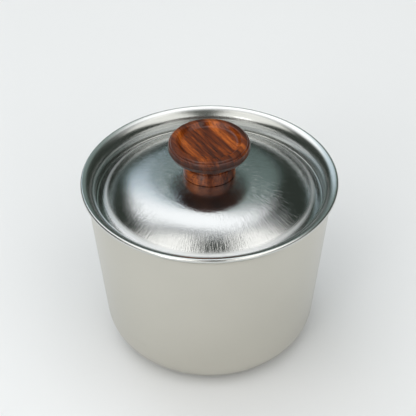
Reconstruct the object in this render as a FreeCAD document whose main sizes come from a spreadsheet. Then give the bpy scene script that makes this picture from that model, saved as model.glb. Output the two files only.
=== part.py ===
"""Double-walled steel shaving bowl with a domed lid and a turned wooden knob.

The bowl stands on the XY plane with its axis on +Z. Lengths are millimetres.
Pressed pieces are one line, thickened to the sheet's thickness and spun about the axis.
Turned pieces are a closed profile spun about the axis.
"""
import FreeCAD, Part
import math
import os
import Sketcher

Vector = FreeCAD.Vector
document = FreeCAD.newDocument("ShavingBowl")

# ---------------------------------------------------------------- driving dimensions

DIMENSIONS = {
    # bowl
    "bowl_sheet": 0.6,
    "rim_radius": 50.0,
    "rim_height": 74.5,
    "bead_radius": 0.85,
    # outer shell, outside surface
    "panel_radius": 22.5,
    "panel_rise": 1.2,
    "panel_rounding": 2.0,
    "ring_inner_radius": 25.5,
    "foot_radius": 42.5,
    "foot_rounding": 13.0,
    "neck_radius": 47.8,
    "neck_drop": 3.9,
    "neck_rounding": 4.0,
    "tuck_inset": 1.1,
    "tuck_drop": 1.75,
    # inner bowl, inside surface
    "floor_height": 5.8,
    "floor_radius": 40.2,
    "floor_rounding": 14.0,
    "ledge_inner_radius": 41.3,
    "ledge_outer_radius": 44.35,
    "ledge_drop": 8.3,
    "ledge_inner_rounding": 0.8,
    "ledge_outer_rounding": 0.5,
    "flare_radius": 44.5,
    "flare_rounding": 5.7,
    "lip_slope": 12.0,
    # lid, top surface
    "lid_sheet": 0.7,
    "lid_hole_radius": 2.25,
    "seat_height": 76.3,
    "crown_radius": 15.8,
    "crown_rounding": 84.0,
    "shoulder_radius": 31.6,
    "shoulder_height": 74.55,
    "shoulder_rounding": 36.0,
    "groove_radius": 39.9,
    "groove_height": 68.5,
    "groove_rounding": 7.0,
    "flange_radius": 41.9,
    "flange_height": 67.67,
    "flange_rounding": 8.0,
    "lid_radius": 43.65,
    "lid_edge_height": 66.7,
    "lid_edge_rounding": 0.78,
    # knob
    "knob_foot_radius": 10.1,
    "knob_foot_height": 5.0,
    "knob_foot_rounding": 0.45,
    "knob_neck_radius": 9.6,
    "knob_neck_step": 0.25,
    "knob_neck_step_rounding": 0.15,
    "knob_neck_height": 6.9,
    "knob_cove_rounding": 2.0,
    "knob_lip_radius": 15.0,
    "knob_lip_height": 9.9,
    "knob_lip_rounding": 1.6,
    "knob_cap_radius": 15.75,
    "knob_cap_side_height": 11.8,
    "knob_cap_side_rounding": 1.2,
    "knob_shoulder_radius": 15.4,
    "knob_shoulder_height": 13.8,
    "knob_shoulder_rounding": 0.5,
    "crown_groove_radius": 14.75,
    "crown_groove_height": 13.95,
    "knob_crown_radius": 14.7,
    "knob_crown_height": 14.65,
    "knob_crown_rounding": 0.45,
    "knob_height": 14.9,
    "dish_radius": 12.4,
    "dish_edge_rounding": 0.8,
    "dish_floor_radius": 11.0,
    "dish_floor_height": 13.4,
    "dish_rounding": 2.2,
    "dish_centre_height": 13.05,
    # fixing
    "insert_radius": 3.0,
    "insert_waist_radius": 2.6,
    "insert_band": 2.2,
    "insert_length": 7.0,
    "insert_bore_radius": 2.04,
    "socket_depth": 7.8,
    "screw_radius": 2.0,
    "screw_length": 8.0,
    "screw_point": 0.5,
    "head_radius": 4.0,
    "head_height": 2.6,
    "head_rounding": 1.3,
    "recess_arm": 2.2,
    "recess_width": 0.9,
    "recess_depth": 1.5,
    "washer_radius": 4.5,
    "washer_bore_radius": 2.15,
    "washer_thickness": 0.8,
    "lock_washer_radius": 3.8,
    "lock_washer_bore_radius": 2.1,
    "lock_washer_thickness": 1.0,
    "lock_washer_slit": 0.9,
}

FULL_TURN = 360


class Size:
    """A length that carries its number and the sheet formula that gives it."""

    def __init__(self, number, formula):
        self.number = number
        self.formula = formula

    def __add__(self, other):
        other = as_size(other)
        return Size(self.number + other.number, f"({self.formula} + {other.formula})")

    def __sub__(self, other):
        other = as_size(other)
        return Size(self.number - other.number, f"({self.formula} - {other.formula})")

    def __mul__(self, factor):
        factor = as_size(factor)
        return Size(self.number * factor.number, f"({self.formula} * {factor.formula})")

    def __truediv__(self, divisor):
        divisor = as_size(divisor)
        return Size(self.number / divisor.number, f"({self.formula} / {divisor.formula})")

    def sine(self):
        return Size(math.sin(math.radians(self.number)), f"sin({self.formula})")

    def cosine(self):
        return Size(math.cos(math.radians(self.number)), f"cos({self.formula})")


def as_size(value):
    """Gives a plain number as a Size."""
    return value if isinstance(value, Size) else Size(float(value), str(value))


def fill_sheet():
    """Writes the driving dimensions to the sheet, and gives each back as a Size."""
    sheet = document.addObject("Spreadsheet::Sheet", "Sizes")
    for row, (name, value) in enumerate(DIMENSIONS.items(), start=1):
        sheet.set(f"A{row}", name)
        sheet.set(f"B{row}", str(value))
        sheet.setAlias(f"B{row}", name)
    document.recompute()
    return {name: Size(value, f"Sizes.{name}") for name, value in DIMENSIONS.items()}


d = fill_sheet()
axis_point = as_size(0)

# ---------------------------------------------------------------- sketching


def bind(sketch, constraint, length):
    """Adds a driving constraint and ties it to the sheet."""
    row = sketch.addConstraint(constraint)
    sketch.setExpression(f"Constraints[{row}]", length.formula)


def pin(sketch, shape, end, x, z):
    """Holds a point at x from the axis and z from the base line."""
    for kind, length, sketch_axis in (("DistanceX", x, -2), ("DistanceY", z, -1)):
        if length.number == 0:
            sketch.addConstraint(Sketcher.Constraint("PointOnObject", shape, end, sketch_axis))
        else:
            bind(sketch, Sketcher.Constraint(kind, -1, 1, shape, end, length.number), length)


def rounding(before, corner, after, radius):
    """Gives where a rounding leaves each side of a corner, and its middle."""
    to_before = (before - corner).normalize()
    to_after = (after - corner).normalize()
    half_angle = to_before.getAngle(to_after) / 2
    reach = radius / math.tan(half_angle)
    to_centre = (to_before + to_after).normalize()
    middle = corner + to_centre * (radius / math.sin(half_angle) - radius)
    return corner + to_before * reach, middle, corner + to_after * reach


def draw_profile(sketch, corners, closed):
    """Draws straight sides from corner to corner, rounded where a corner has a radius.

    A corner is (x, z) or (x, z, radius). Each is held by its two distances from the
    origin, and a rounded one is tangent to both of its sides.
    """
    corners = [tuple(as_size(value) for value in corner) for corner in corners]
    points = [Vector(corner[0].number, corner[1].number, 0) for corner in corners]
    count = len(corners)
    arrive = list(points)
    leave = list(points)
    middles = {}
    for index, corner in enumerate(corners):
        if len(corner) == 3:
            after = points[(index + 1) % count]
            arrive[index], middles[index], leave[index] = rounding(
                points[index - 1], points[index], after, corner[2].number)
    side_count = count if closed else count - 1
    sides = [sketch.addGeometry(Part.LineSegment(leave[index], arrive[(index + 1) % count]))
             for index in range(side_count)]
    for index, (x, z, *radius) in enumerate(corners):
        side_in = sides[index - 1] if closed or index > 0 else None
        side_out = sides[index] if index < side_count else None
        if radius:
            arrival, middle, departure = arrive[index], middles[index], leave[index]
            turn = (middle - arrival).cross(departure - middle)
            if turn.z > 0:
                arc = sketch.addGeometry(Part.Arc(arrival, middle, departure))
                first, last = 1, 2
            else:
                arc = sketch.addGeometry(Part.Arc(departure, middle, arrival))
                first, last = 2, 1
            corner_point = sketch.addGeometry(Part.Point(points[index]), True)
            pin(sketch, corner_point, 1, x, z)
            for side in (side_in, side_out):
                sketch.addConstraint(Sketcher.Constraint("PointOnObject", corner_point, 1, side))
            sketch.addConstraint(Sketcher.Constraint("Tangent", side_in, 2, arc, first))
            sketch.addConstraint(Sketcher.Constraint("Tangent", arc, last, side_out, 1))
            bind(sketch, Sketcher.Constraint("Radius", arc, radius[0].number), radius[0])
        elif side_out is None:
            pin(sketch, side_in, 2, x, z)
        else:
            pin(sketch, side_out, 1, x, z)
            if side_in is not None:
                sketch.addConstraint(Sketcher.Constraint("Coincident", side_in, 2, side_out, 1))


# ---------------------------------------------------------------- kinds of piece


def name_piece(piece, label, height):
    """Labels a finished piece and lifts it to its height above the base."""
    piece.Label = label
    if height is not None:
        piece.setExpression("Placement.Base.z", height.formula)
    return piece


def pressed_sheet(name, corners, thickness, metal_side):
    """Spins a line of sheet metal about the axis.

    metal_side is 1 where the metal lies to the left of the line's run, or -1.
    """
    line = document.addObject("Sketcher::SketchObject", f"{name}_line")
    line.Placement = FreeCAD.Placement(Vector(0, 0, 0), FreeCAD.Rotation(Vector(1, 0, 0), 90))
    draw_profile(line, corners, closed=False)
    section = document.addObject("Part::Offset2D", f"{name}_section")
    section.Source = line
    section.Mode = "Skin"
    section.Join = "Intersection"
    section.Fill = True
    section.setExpression("Value", (thickness * metal_side).formula)
    spun = document.addObject("Part::Revolution", f"{name}_spun")
    spun.Source = section
    spun.Axis = Vector(0, 0, 1)
    spun.Base = Vector(0, 0, 0)
    spun.Angle = FULL_TURN
    return spun


def origin_plane(body, role):
    """Finds one of a body's own origin planes."""
    return next(plane for plane in body.Origin.OriginFeatures if plane.Role == role)


def body_sketch(body, name, role, corners):
    """Draws a closed profile on one of a body's origin planes."""
    sketch = body.newObject("Sketcher::SketchObject", name)
    sketch.AttachmentSupport = [(origin_plane(body, role), "")]
    sketch.MapMode = "FlatFace"
    draw_profile(sketch, corners, closed=True)
    return sketch


def turned(name, corners):
    """Spins a closed profile about the axis, as a body."""
    body = document.addObject("PartDesign::Body", f"{name}_body")
    sketch = body_sketch(body, f"{name}_profile", "XZ_Plane", corners)
    spun = body.newObject("PartDesign::Revolution", f"{name}_turned")
    spun.Profile = sketch
    spun.ReferenceAxis = (sketch, ["V_Axis"])
    spun.Angle = FULL_TURN
    document.recompute()
    return body


def cylinder(name, radius, length):
    """Makes a cylinder on the axis."""
    solid = document.addObject("Part::Cylinder", name)
    solid.setExpression("Radius", radius.formula)
    solid.setExpression("Height", length.formula)
    return solid


def cut(name, base, tool):
    """Takes one solid away from another."""
    result = document.addObject("Part::Cut", name)
    result.Base = base
    result.Tool = tool
    return result


def washer(name, radius, bore_radius, thickness):
    """Makes a flat ring."""
    disc = cylinder(f"{name}_disc", radius, thickness)
    bore = cylinder(f"{name}_bore", bore_radius, thickness)
    return cut(f"{name}_ring", disc, bore)


# ---------------------------------------------------------------- the bowl


def outer_shell():
    """The outside of the bowl: it stands on a ring around a raised centre panel."""
    rim_height = d["rim_height"]
    corners = [
        (axis_point, d["panel_rise"]),
        (d["panel_radius"], d["panel_rise"], d["panel_rounding"]),
        (d["ring_inner_radius"], 0, d["panel_rounding"]),
        (d["foot_radius"], 0, d["foot_rounding"]),
        (d["neck_radius"], rim_height - d["neck_drop"], d["neck_rounding"]),
        (d["rim_radius"] - d["tuck_inset"], rim_height - d["tuck_drop"]),
    ]
    return name_piece(pressed_sheet("shell", corners, d["bowl_sheet"], 1), "outer_shell", None)


def inner_bowl():
    """The lather bowl: its flared wall carries the lid's ledge and ends in the rolled rim."""
    rim_height = d["rim_height"]
    ledge_height = rim_height - d["ledge_drop"]
    bead_centre_radius = d["rim_radius"] - d["bead_radius"]
    bead_centre_height = rim_height - d["bead_radius"]
    # the lip meets the bead where the bead's own surface has the lip's slope
    sine, cosine = d["lip_slope"].sine(), d["lip_slope"].cosine()
    lip_radius = bead_centre_radius - d["bead_radius"] * sine
    lip_height = bead_centre_height + d["bead_radius"] * cosine
    flare_height = lip_height - (lip_radius - d["flare_radius"]) * sine / cosine
    corners = [
        (axis_point, d["floor_height"]),
        (d["floor_radius"], d["floor_height"], d["floor_rounding"]),
        (d["ledge_inner_radius"], ledge_height, d["ledge_inner_rounding"]),
        (d["ledge_outer_radius"], ledge_height, d["ledge_outer_rounding"]),
        (d["flare_radius"], flare_height, d["flare_rounding"]),
        (lip_radius, lip_height),
    ]
    wall = pressed_sheet("liner", corners, d["bowl_sheet"], -1)
    bead = document.addObject("Part::Torus", "liner_bead")
    bead.setExpression("Radius1", bead_centre_radius.formula)
    bead.setExpression("Radius2", d["bead_radius"].formula)
    bead.setExpression("Placement.Base.z", bead_centre_height.formula)
    joined = document.addObject("Part::Fuse", "liner_with_bead")
    joined.Base = wall
    joined.Tool = bead
    return name_piece(joined, "inner_bowl", None)


# ---------------------------------------------------------------- the lid


def lid_shell():
    """The lid: a flat knob seat, a dome, a shallow groove, a sloping flange and its edge."""
    corners = [
        (d["lid_hole_radius"], d["seat_height"]),
        (d["crown_radius"], d["seat_height"], d["crown_rounding"]),
        (d["shoulder_radius"], d["shoulder_height"], d["shoulder_rounding"]),
        (d["groove_radius"], d["groove_height"], d["groove_rounding"]),
        (d["flange_radius"], d["flange_height"], d["flange_rounding"]),
        (d["lid_radius"], d["lid_edge_height"], d["lid_edge_rounding"]),
        (d["lid_radius"], d["rim_height"] - d["ledge_drop"]),
    ]
    return name_piece(pressed_sheet("lid", corners, d["lid_sheet"], -1), "lid_shell", None)


def knob():
    """The knob: a foot band, a neck, a cove and a dished cap with two fine beads round its top."""
    foot_top = d["knob_foot_height"]
    corners = [
        (d["insert_radius"], 0),
        (d["knob_foot_radius"], 0, d["knob_foot_rounding"]),
        (d["knob_foot_radius"], foot_top, d["knob_foot_rounding"]),
        (d["knob_neck_radius"], foot_top + d["knob_neck_step"], d["knob_neck_step_rounding"]),
        (d["knob_neck_radius"], d["knob_neck_height"], d["knob_cove_rounding"]),
        (d["knob_lip_radius"], d["knob_lip_height"], d["knob_lip_rounding"]),
        (d["knob_cap_radius"], d["knob_cap_side_height"], d["knob_cap_side_rounding"]),
        (d["knob_shoulder_radius"], d["knob_shoulder_height"], d["knob_shoulder_rounding"]),
        (d["crown_groove_radius"], d["crown_groove_height"]),
        (d["knob_crown_radius"], d["knob_crown_height"], d["knob_crown_rounding"]),
        (d["dish_radius"], d["knob_height"], d["dish_edge_rounding"]),
        (d["dish_floor_radius"], d["dish_floor_height"], d["dish_rounding"]),
        (axis_point, d["dish_centre_height"]),
        (axis_point, d["socket_depth"]),
        (d["insert_radius"], d["socket_depth"]),
    ]
    return name_piece(turned("knob", corners), "knob", d["seat_height"])


# ---------------------------------------------------------------- the knob's fixing

under_seat = d["seat_height"] - d["lid_sheet"]
under_washer = under_seat - d["washer_thickness"]
under_lock_washer = under_washer - d["lock_washer_thickness"]


def threaded_insert():
    """The brass insert: two bands that grip the wood either side of a waist."""
    top_band = d["insert_length"] - d["insert_band"]
    corners = [
        (d["insert_bore_radius"], 0),
        (d["insert_radius"], 0),
        (d["insert_radius"], d["insert_band"]),
        (d["insert_waist_radius"], d["insert_band"]),
        (d["insert_waist_radius"], top_band),
        (d["insert_radius"], top_band),
        (d["insert_radius"], d["insert_length"]),
        (d["insert_bore_radius"], d["insert_length"]),
    ]
    return name_piece(turned("insert", corners), "threaded_insert", d["seat_height"])


def knob_screw():
    """The pan-head screw from below the lid, with its thread drawn plain."""
    point_height = d["head_height"] + d["screw_length"]
    corners = [
        (axis_point, 0),
        (d["head_radius"], 0, d["head_rounding"]),
        (d["head_radius"], d["head_height"]),
        (d["screw_radius"], d["head_height"]),
        (d["screw_radius"], point_height - d["screw_point"]),
        (d["screw_radius"] - d["screw_point"], point_height),
        (axis_point, point_height),
    ]
    body = turned("screw", corners)
    arm = d["recess_arm"]
    half_width = d["recess_width"] / 2
    quarter = [(arm, half_width), (half_width, half_width), (half_width, arm)]
    cross = []
    for _ in range(4):
        cross += quarter
        quarter = [(y * -1, x) for x, y in quarter]
    recess = body.newObject("PartDesign::Pocket", "screw_recess")
    recess.Profile = body_sketch(body, "screw_cross", "XY_Plane", cross)
    recess.setExpression("Length", d["recess_depth"].formula)
    recess.Reversed = True
    return name_piece(body, "knob_screw", under_lock_washer - d["head_height"])


def flat_washer():
    """The flat washer against the lid."""
    ring = washer("flat", d["washer_radius"], d["washer_bore_radius"], d["washer_thickness"])
    return name_piece(ring, "flat_washer", under_washer)


def lock_washer():
    """The split lock washer under the screw's head, pressed flat."""
    ring = washer("lock", d["lock_washer_radius"], d["lock_washer_bore_radius"],
                  d["lock_washer_thickness"])
    slit = document.addObject("Part::Box", "lock_slit")
    slit.setExpression("Length", d["lock_washer_radius"].formula)
    slit.setExpression("Width", d["lock_washer_slit"].formula)
    slit.setExpression("Height", d["lock_washer_thickness"].formula)
    slit.setExpression("Placement.Base.y", (d["lock_washer_slit"] * -0.5).formula)
    return name_piece(cut("lock_split_ring", ring, slit), "lock_washer", under_lock_washer)


# ---------------------------------------------------------------- checking and writing


def check_document(pieces):
    """Stops if any object failed, or any piece isn't one valid closed solid."""
    for item in document.Objects:
        if {"Invalid", "Error"} & set(item.State):
            raise RuntimeError(f"{item.Name} is in state {item.State}")
        if item.TypeId == "Sketcher::SketchObject" and not item.FullyConstrained:
            raise RuntimeError(f"{item.Name} is not fully constrained")
    for piece in pieces:
        if piece.Shape.isNull() or not piece.Shape.isValid() or len(piece.Shape.Solids) != 1:
            raise RuntimeError(f"{piece.Label} is not one valid solid")


def write_pieces(pieces):
    """Writes each piece to its own file."""
    os.makedirs("parts", exist_ok=True)
    for piece in pieces:
        piece.Shape.exportStep(f"parts/{piece.Label}.step")
        box = piece.Shape.optimalBoundingBox()
        print(f"{piece.Label:16s} {piece.Shape.Volume:9.1f} mm3  "
              f"z {box.ZMin:7.3f} to {box.ZMax:7.3f}")


pieces = [
    outer_shell(),
    inner_bowl(),
    lid_shell(),
    knob(),
    threaded_insert(),
    knob_screw(),
    flat_washer(),
    lock_washer(),
]
document.recompute()
check_document(pieces)
write_pieces(pieces)
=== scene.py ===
"""Looks for the double-walled shaving bowl: materials, studio and camera around the CAD frame."""
import math

import bpy
from mathutils import Matrix, Vector


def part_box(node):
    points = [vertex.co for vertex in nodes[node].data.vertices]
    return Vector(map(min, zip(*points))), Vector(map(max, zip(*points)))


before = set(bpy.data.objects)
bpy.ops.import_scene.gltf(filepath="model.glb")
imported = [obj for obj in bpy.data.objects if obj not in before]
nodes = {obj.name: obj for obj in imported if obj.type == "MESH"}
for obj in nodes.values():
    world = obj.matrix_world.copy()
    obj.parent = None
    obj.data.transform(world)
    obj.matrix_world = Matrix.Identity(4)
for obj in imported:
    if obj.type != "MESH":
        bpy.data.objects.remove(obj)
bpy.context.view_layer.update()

# ---------------------------------------------------------------- places, from the frame

rim_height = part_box("inner_bowl")[1].z
lid_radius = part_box("lid_shell")[1].x
knob_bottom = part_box("knob")[0].z
knob_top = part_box("knob")[1].z

# Keeps divisions by the distance from the axis, or from straight up, finite.
TINY = 0.0001


# ---------------------------------------------------------------- node helpers


class Nodes:
    """The node tree of a material or a world, emptied, and short ways to add nodes to it."""

    def __init__(self, owner):
        owner.use_nodes = True
        self.tree = owner.node_tree
        self.tree.nodes.clear()

    def node(self, kind, **settings):
        made = self.tree.nodes.new(kind)
        for name, value in settings.items():
            setattr(made, name, value)
        return made

    def link(self, source, target):
        self.tree.links.new(source, target)

    def feed(self, target, value):
        """Links a socket, or sets a plain value."""
        if isinstance(value, bpy.types.NodeSocket):
            self.link(value, target)
        else:
            target.default_value = value

    def math(self, operation, first, second=0.0, third=0.0):
        made = self.node("ShaderNodeMath", operation=operation)
        for target, value in zip(made.inputs, (first, second, third)):
            self.feed(target, value)
        return made.outputs[0]

    def length(self, x, y):
        """The length of a flat vector, never quite 0."""
        squares = self.math("ADD", self.math("MULTIPLY", x, x), self.math("MULTIPLY", y, y))
        return self.math("MAXIMUM", self.math("SQRT", squares), TINY)

    def split(self, vector):
        """The three parts of a vector."""
        made = self.node("ShaderNodeSeparateXYZ")
        self.link(vector, made.inputs[0])
        return made.outputs

    def join(self, x, y, z):
        made = self.node("ShaderNodeCombineXYZ")
        for target, value in zip(made.inputs, (x, y, z)):
            self.feed(target, value)
        return made.outputs[0]

    def rescale(self, value, low, high, from_low=0.0, from_high=1.0, shape="LINEAR"):
        """Turns from_low..from_high into low..high, and stays at the nearer end outside it."""
        made = self.node("ShaderNodeMapRange", interpolation_type=shape)
        self.link(value, made.inputs["Value"])
        made.inputs["From Min"].default_value = from_low
        made.inputs["From Max"].default_value = from_high
        made.inputs["To Min"].default_value = low
        made.inputs["To Max"].default_value = high
        return made.outputs["Result"]

    def mix(self, factor, first, second):
        """Goes from the first colour to the second as factor goes from 0 to 1."""
        made = self.node("ShaderNodeMix", data_type="RGBA")
        self.feed(made.inputs[0], factor)
        for target, value in ((made.inputs[6], first), (made.inputs[7], second)):
            self.feed(target, value if isinstance(value, bpy.types.NodeSocket) else (*value, 1))
        return made.outputs[2]


class Shader(Nodes):
    """A material with one Principled shader."""

    def __init__(self, name):
        self.material = bpy.data.materials.new(name)
        super().__init__(self.material)
        output = self.node("ShaderNodeOutputMaterial")
        self.surface = self.node("ShaderNodeBsdfPrincipled")
        self.link(self.surface.outputs["BSDF"], output.inputs["Surface"])

    def set(self, **values):
        """Sets or links the Principled sockets named with underscores for spaces."""
        for name, value in values.items():
            self.feed(self.surface.inputs[name.replace("_", " ")], value)

    def place(self, turn=0.0):
        """The piece's own coordinates in metres, turned about the upright axis."""
        coordinates = self.node("ShaderNodeTexCoord")
        mapping = self.node("ShaderNodeMapping")
        mapping.inputs["Rotation"].default_value = (0, 0, turn)
        self.link(coordinates.outputs["Object"], mapping.inputs["Vector"])
        return mapping.outputs["Vector"]

    def polar(self):
        """Distance from the axis, the two parts of the direction from it, and height, in metres."""
        x, y, z = self.split(self.place())
        radius = self.length(x, y)
        return radius, self.math("DIVIDE", x, radius), self.math("DIVIDE", y, radius), z

    def noise(self, vector, scale, detail=2.0):
        made = self.node("ShaderNodeTexNoise")
        self.link(vector, made.inputs["Vector"])
        made.inputs["Scale"].default_value = scale
        made.inputs["Detail"].default_value = detail
        return made.outputs["Fac"]

    def ramp(self, factor, stops):
        """A colour ramp from (position, colour) stops."""
        made = self.node("ShaderNodeValToRGB")
        self.link(factor, made.inputs["Fac"])
        elements = made.color_ramp.elements
        while len(elements) < len(stops):
            elements.new(0.5)
        for element, (position, colour) in zip(elements, stops):
            element.position = position
            element.color = (*colour, 1)
        return made.outputs["Color"]

    def bump(self, height, distance, normal=None):
        """A bump of this many metres, on top of another one if normal is given."""
        made = self.node("ShaderNodeBump")
        made.inputs["Strength"].default_value = 1.0
        made.inputs["Distance"].default_value = distance
        self.link(height, made.inputs["Height"])
        if normal is not None:
            self.link(normal, made.inputs["Normal"])
        return made.outputs["Normal"]


# ---------------------------------------------------------------- metals


def mottled(shader, factor, dark, light):
    """The dark colour where a noise is low and the light one where it is high."""
    return shader.ramp(factor, [(0.3, dark), (0.7, light)])


def darker(colour, share):
    """A share of a colour, from 0 for black to 1 for the colour itself."""
    return [part * share for part in colour]


def scuffs(shader):
    """Where the metal is a little cloudy from handling, from 0 to 1."""
    return shader.noise(shader.place(), 45, detail=4)


def turned_lines(shader, radius, height, density):
    """Fine rings round the axis, as brushing on a lathe leaves them."""
    return shader.noise(shader.join(radius, 0.0, height), density, detail=3)


def scuffed_roughness(steel, rings, cloud, low, high):
    """Roughness from low to high over the rings, and a little up and down over the scuffs."""
    scuff = 0.03
    return steel.math("ADD", steel.rescale(rings, low, high), steel.rescale(cloud, -scuff, scuff))


def shell_steel():
    """The outer cup: satin steel brushed round the axis, with soft handling marks."""
    colour = (0.60, 0.582, 0.522)
    roughness = 0.25
    uneven = 0.04
    rings_per_metre = 5200
    ring_depth = 0.000004
    steel = Shader("shell_satin_steel")
    radius, _, _, height = steel.polar()
    rings = turned_lines(steel, radius, height, rings_per_metre)
    cloud = scuffs(steel)
    steel.set(
        Base_Color=mottled(steel, cloud, darker(colour, 0.96), colour),
        Metallic=1.0,
        Roughness=scuffed_roughness(steel, rings, cloud, roughness - uneven, roughness + uneven),
        Normal=steel.bump(rings, ring_depth),
    )
    return steel.material


def liner_steel():
    """The liner: soft satin steel, painted darker down the wall as shade and brighter along the rim
    as a highlight.
    """
    # The wall's colour is painted darker as shade, and the rim's colour is painted brighter as a
    # highlight.
    shaded_wall = (0.55, 0.56, 0.54)
    bright = (0.78, 0.78, 0.76)
    highlight_from = rim_height - 0.0012
    highlight_to = rim_height - 0.0003
    rings_per_metre = 2400
    ring_depth = 0.0000008
    steel = Shader("liner_steel")
    radius, _, _, height = steel.polar()
    rings = turned_lines(steel, radius, height, rings_per_metre)
    cloud = scuffs(steel)
    # Painted highlight: the colour goes from the darker wall to the brighter rim bead, plus a
    # little scuffing.
    painted_highlight = steel.rescale(height, 0.0, 1.0, highlight_from, highlight_to)
    highlight_and_scuffs = steel.math("ADD", painted_highlight, steel.rescale(cloud, -0.04, 0.04))
    steel.set(
        Base_Color=steel.ramp(highlight_and_scuffs, [(0.0, shaded_wall), (1.0, bright)]),
        Metallic=1.0,
        Roughness=scuffed_roughness(steel, rings, cloud, 0.22, 0.24),
        Normal=steel.bump(rings, ring_depth),
    )
    return steel.material


def lid_steel():
    """The lid: deep-drawn steel with fine streaks that run outwards, and a rougher ring near its
    edge painted brighter as a highlight.
    """
    dark = (0.60, 0.61, 0.605)
    light = (0.63, 0.635, 0.63)
    # Colour of the painted highlight ring.
    highlight_colour = (0.88, 0.89, 0.89)
    matt_roughness = 0.40
    ring_radius = lid_radius - 0.0033
    ring_half_width = 0.0019
    ring_fade = 1.5
    streaks_around = 130.0
    streaks_outwards = 260.0
    streak_depth = 0.000055
    grains_per_metre = 1300
    grain_depth = 0.000030
    steel = Shader("lid_steel")
    radius, right, back, _ = steel.polar()
    streaks = steel.noise(steel.join(steel.math("MULTIPLY", right, streaks_around),
                                     steel.math("MULTIPLY", back, streaks_around),
                                     steel.math("MULTIPLY", radius, streaks_outwards)), 1.0)
    grain = steel.noise(steel.place(), grains_per_metre, detail=3)
    cloud = scuffs(steel)
    # A ring near the edge where the colour is painted brighter as a highlight, and the steel is
    # also rougher.
    from_ring = steel.math("ABSOLUTE", steel.math("SUBTRACT", radius, ring_radius))
    in_ring = steel.rescale(from_ring, 1.0, 0.0, 0.0, ring_half_width)
    painted_highlight = steel.math("POWER", in_ring, ring_fade)
    satin = steel.math("ADD", steel.rescale(streaks, 0.09, 0.15),
                       steel.rescale(cloud, -0.02, 0.02))
    steel.set(
        Base_Color=steel.mix(painted_highlight, mottled(steel, cloud, dark, light), highlight_colour),
        Metallic=1.0,
        Roughness=steel.math("MULTIPLY_ADD", painted_highlight, matt_roughness, satin),
        Normal=steel.bump(streaks, streak_depth, normal=steel.bump(grain, grain_depth)),
    )
    return steel.material


def plain_metal(name, colour, roughness):
    """Small turned metal with a faint lathe finish."""
    uneven = 0.06
    rings_per_metre = 4000
    ring_depth = 0.00001
    metal = Shader(name)
    radius, _, _, height = metal.polar()
    rings = turned_lines(metal, radius, height, rings_per_metre)
    metal.set(
        Base_Color=mottled(metal, rings, darker(colour, 0.9), colour),
        Metallic=1.0,
        Roughness=metal.rescale(rings, roughness - uneven, roughness + uneven),
        Normal=metal.bump(rings, ring_depth),
    )
    return metal.material


# ---------------------------------------------------------------- wood


def painted_shade_under_cap(timber, radius, height):
    """Painted shade on the neck, the cove under the cap and the cap's side, from 0 to 1."""
    neck_bottom = knob_bottom + 0.0053
    bead_bottom = knob_top - 0.0015
    dish_floor = knob_top - 0.0025
    bead_radius = 0.0140
    on_neck = 0.75
    above_foot = timber.rescale(height, 0.0, on_neck, neck_bottom, neck_bottom + 0.0006)
    below_dish = timber.rescale(height, 1.0, 0.0, dish_floor - 0.0005, dish_floor)
    below_bead = timber.rescale(height, 1.0, 0.0, bead_bottom - 0.0004, bead_bottom)
    outside = timber.rescale(radius, 0.0, 1.0, bead_radius, bead_radius + 0.0005)
    side = timber.math("MAXIMUM", below_dish, timber.math("MULTIPLY", below_bead, outside))
    return timber.math("MULTIPLY", above_foot, side)


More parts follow.
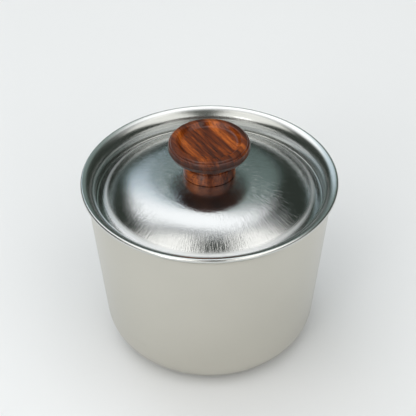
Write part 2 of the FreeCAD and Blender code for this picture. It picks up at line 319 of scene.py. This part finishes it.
def wood():
    """Striped rosewood, lying on its side in the knob, under a thin glossy lacquer, with shade
    painted under the cap and on its outer rounding.
    """
    grain_direction = math.radians(-33)
    tones = [
        (0.10, (0.030, 0.006, 0.002)),
        (0.30, (0.078, 0.013, 0.002)),
        (0.50, (0.165, 0.031, 0.003)),
        (0.70, (0.280, 0.058, 0.006)),
        (0.95, (0.480, 0.118, 0.015)),
    ]
    pore_colour = (0.030, 0.010, 0.006)
    # Colour of the painted shade under the cap.
    under_cap_shade_colour = (0.026, 0.009, 0.006)
    # Colour and reach of the painted shade on the cap's outer rounding.
    rounding_shade_colour = (0.040, 0.011, 0.006)
    edge_from, edge_to = 0.0122, 0.0150
    edge_share = 0.55
    wander_width = 0.005
    # Distance across the grain, half width, and how much lighter the wood is there.
    light_stripes = ((0.0078, 0.0017, 0.42), (-0.0095, 0.0020, 0.30))
    middle_tone = 0.40
    band_strength = 1.35
    fibre_strength = 0.9
    fibre_depth = 0.00002
    pore_strength = 0.7
    pore_from, pore_to = 0.34, 0.46
    under_cap_roughness = 0.2

    timber = Shader("knob_rosewood")
    across, along, height = timber.split(timber.place(turn=grain_direction))

    def figure(x, across_scale, along_scale, height_scale, detail, shift=0.0):
        """Noise drawn out along the grain; scales are features per metre."""
        return timber.noise(timber.join(timber.math("MULTIPLY", x, across_scale),
                                        timber.math("MULTIPLY", along, along_scale),
                                        timber.math("MULTIPLY_ADD", height, height_scale, shift)),
                            1.0, detail=detail)

    def add_centred(figured, strength, base):
        """Adds a figure to a tone, lighter and darker by the same amount."""
        return timber.math("MULTIPLY_ADD", timber.math("SUBTRACT", figured, 0.5), strength, base)

    wander = figure(across, 60, 25, 30, detail=1)
    wavy = timber.math("MULTIPLY_ADD", wander, wander_width,
                       timber.math("SUBTRACT", across, wander_width / 2))
    bands = figure(wavy, 560, 34, 190, detail=3)
    fibres = figure(wavy, 1500, 110, 500, detail=3, shift=7.0)
    pores = figure(wavy, 4200, 420, 2000, detail=1, shift=3.0)
    tone = add_centred(bands, band_strength, middle_tone)
    tone = add_centred(fibres, fibre_strength, tone)
    for centre, half_width, strength in light_stripes:
        away = timber.math("ABSOLUTE", timber.math("SUBTRACT", wavy, centre))
        stripe = timber.rescale(away, 1.0, 0.0, half_width * 0.4, half_width * 1.5)
        tone = timber.math("MULTIPLY_ADD", stripe, strength, tone)
    colour = timber.ramp(tone, tones)
    dark_pores = timber.rescale(pores, pore_strength, 0.0, pore_from, pore_to)
    colour = timber.mix(dark_pores, colour, pore_colour)
    radius = timber.polar()[0]
    # Painted shade: the neck, the cove and the cap's side are made nearly black, and rougher with
    # less lacquer.
    under_cap_shade = painted_shade_under_cap(timber, radius, height)
    colour = timber.mix(under_cap_shade, colour, under_cap_shade_colour)
    # Painted shade on the cap's outer rounding, left out where the shade under the cap already
    # lies.
    edge = timber.rescale(radius, 0.0, edge_share, edge_from, edge_to)
    rounding_shade = timber.math("SUBTRACT", edge, timber.math("MULTIPLY", edge, under_cap_shade))
    timber.set(
        Base_Color=timber.mix(rounding_shade, colour, rounding_shade_colour),
        Roughness=timber.math("MULTIPLY_ADD", under_cap_shade, under_cap_roughness,
                              timber.rescale(fibres, 0.24, 0.34)),
        Specular_IOR_Level=0.14,
        Coat_Weight=timber.rescale(under_cap_shade, 0.60, 0.35),
        Coat_Roughness=0.07,
        Normal=timber.bump(fibres, fibre_depth),
    )
    return timber.material


def give(material, *names):
    """Gives CAD nodes a material in place of their packed one."""
    for name in names:
        data = nodes[name].data
        data.materials.clear()
        data.materials.append(material)


give(shell_steel(), "outer_shell")
give(liner_steel(), "inner_bowl")
give(lid_steel(), "lid_shell")
give(wood(), "knob")
give(plain_metal("insert_brass", (0.75, 0.56, 0.26), 0.32), "threaded_insert")
give(plain_metal("fixing_zinc", (0.60, 0.60, 0.60), 0.28), "knob_screw", "flat_washer",
     "lock_washer")


# ---------------------------------------------------------------- floor


def lay_floor():
    """A pale, slightly glossy table top, larger than the photo's view sees."""
    half = 3.0
    mesh = bpy.data.meshes.new("floor")
    mesh.from_pydata([(-half, -half, 0), (half, -half, 0), (half, half, 0), (-half, half, 0)],
                     [], [(0, 1, 2, 3)])
    floor = bpy.data.objects.new("floor", mesh)
    bpy.context.scene.collection.objects.link(floor)
    paper = Shader("floor_paper")
    cloud = paper.noise(paper.place(), 3)
    paper.set(
        Base_Color=mottled(paper, cloud, (0.80, 0.81, 0.82), (0.82, 0.83, 0.84)),
        Roughness=0.6,
        Specular_IOR_Level=0.2,
    )
    mesh.materials.append(paper.material)


lay_floor()


# ---------------------------------------------------------------- light


class Room(Nodes):
    """The world: soft-edged bright panels in a dim room, placed by direction.

    A place is (right, back): degrees from straight up, to the right and to the back.
    """

    def __init__(self, colour):
        world = bpy.data.worlds.new("room")
        bpy.context.scene.world = world
        super().__init__(world)
        self.output = self.node("ShaderNodeOutputWorld")
        direction = self.node("ShaderNodeTexCoord").outputs["Generated"]
        x, y, height = self.split(direction)
        self.tilt = self.math("MULTIPLY", self.math("ARCCOSINE", height), 180 / math.pi)
        level = self.length(x, y)
        self.right = self.math("MULTIPLY", self.math("DIVIDE", x, level), self.tilt)
        self.back = self.math("MULTIPLY", self.math("DIVIDE", y, level), self.tilt)
        self.colour = colour

    def fade(self, value, full, none):
        """1 up to full, then smoothly down to 0 at none; the other way round if none is lower."""
        return self.rescale(value, 1.0, 0.0, full, none, shape="SMOOTHSTEP")

    def panel(self, centre, half_size, turn, softness):
        """How much a direction lies in a soft-edged rectangle."""
        right = self.math("SUBTRACT", self.right, centre[0])
        back = self.math("SUBTRACT", self.back, centre[1])
        cos, sin = math.cos(math.radians(turn)), math.sin(math.radians(turn))
        along = self.math("ADD", self.math("MULTIPLY", right, cos),
                          self.math("MULTIPLY", back, sin))
        across = self.math("SUBTRACT", self.math("MULTIPLY", back, cos),
                           self.math("MULTIPLY", right, sin))
        masks = [self.fade(self.math("ABSOLUTE", value), half - softness, half + softness)
                 for value, half in zip((along, across), half_size)]
        return self.math("MULTIPLY", *masks)

    def paint(self, mask, colour):
        """Lays a colour over what is there, where the mask is high."""
        self.colour = self.mix(mask, self.colour, colour)

    def finish(self):
        background = self.node("ShaderNodeBackground")
        self.link(self.colour, background.inputs["Color"])
        self.link(background.outputs["Background"], self.output.inputs["Surface"])


def fill_world():
    """A dim room with a pale horizon, soft panels overhead and at the back, and tall front ones."""
    dim = (0.040, 0.050, 0.042)
    horizon = (0.60, 0.62, 0.63)
    horizon_full, horizon_none = 88.5, 84.5
    # Centre, half size, turn and softness in degrees, then the colour. Later ones lie on top.
    panels = (
        ((-8, 46), (30, 22), 0, 6, (0.17, 0.235, 0.225)),         # grey-green back of the room
        ((10, 46), (13, 14), 0, 7, (0.20, 0.265, 0.25)),          # a lighter patch in it
        ((-24, 48), (11, 13), 0, 4, (0.66, 0.80, 0.90)),          # bluish glow on the lid's left
        ((0, 5), (40, 12), 0, 8, (0.55, 0.57, 0.58)),             # pale ceiling
        ((-7.6, 21.3), (31.5, 13), -16, 6, (1.5, 1.53, 1.56)),    # bright slanting box overhead
        ((-30, -38), (22, 39), 0, 5, (1.45, 1.44, 1.40)),         # tall front panel, left
        ((32, -36), (18, 41), 0, 5, (1.45, 1.44, 1.40)),          # tall front panel, right
        ((-36, -53), (8, 8), 0, 3, (5.0, 5.0, 4.9)),              # small bright window
    )
    room = Room(dim)
    room.paint(room.fade(room.tilt, horizon_full, horizon_none), horizon)
    for *shape, colour in panels:
        room.paint(room.panel(*shape), colour)
    room.finish()


def soft_lamp(name, place, size, energy):
    """A round soft lamp aimed at the bowl, which isn't mirrored in the steel."""
    light = bpy.data.lights.new(name, "AREA")
    light.shape = "DISK"
    light.size = size
    light.energy = energy
    lamp = bpy.data.objects.new(name, light)
    bpy.context.scene.collection.objects.link(lamp)
    lamp.location = place
    lamp.rotation_euler = Vector(place).to_track_quat("Z", "Y").to_euler()
    lamp.visible_glossy = False


fill_world()
soft_lamp("overhead_fill", place=(-0.30, -0.05, 1.30), size=2.2, energy=8.4)


# ---------------------------------------------------------------- camera, as the photo was taken

elevation = math.radians(38.71)
distance = 0.3877
roll = math.radians(-0.4)
aim = Vector((-0.0006, -0.0080, rim_height - 0.0100))

lens = bpy.data.cameras.new("camera")
lens.sensor_width = 36.0
lens.lens = 86.54
lens.clip_start = 0.01
lens.clip_end = 20.0
camera = bpy.data.objects.new("camera", lens)
bpy.context.scene.collection.objects.link(camera)
towards_camera = Vector((0, -math.cos(elevation), math.sin(elevation)))
camera.matrix_world = (Matrix.Translation(aim + towards_camera * distance)
                       @ towards_camera.to_track_quat("Z", "Y").to_matrix().to_4x4()
                       @ Matrix.Rotation(roll, 4, "Z"))
bpy.context.scene.camera = camera
bpy.context.scene.view_settings.view_transform = "Standard"
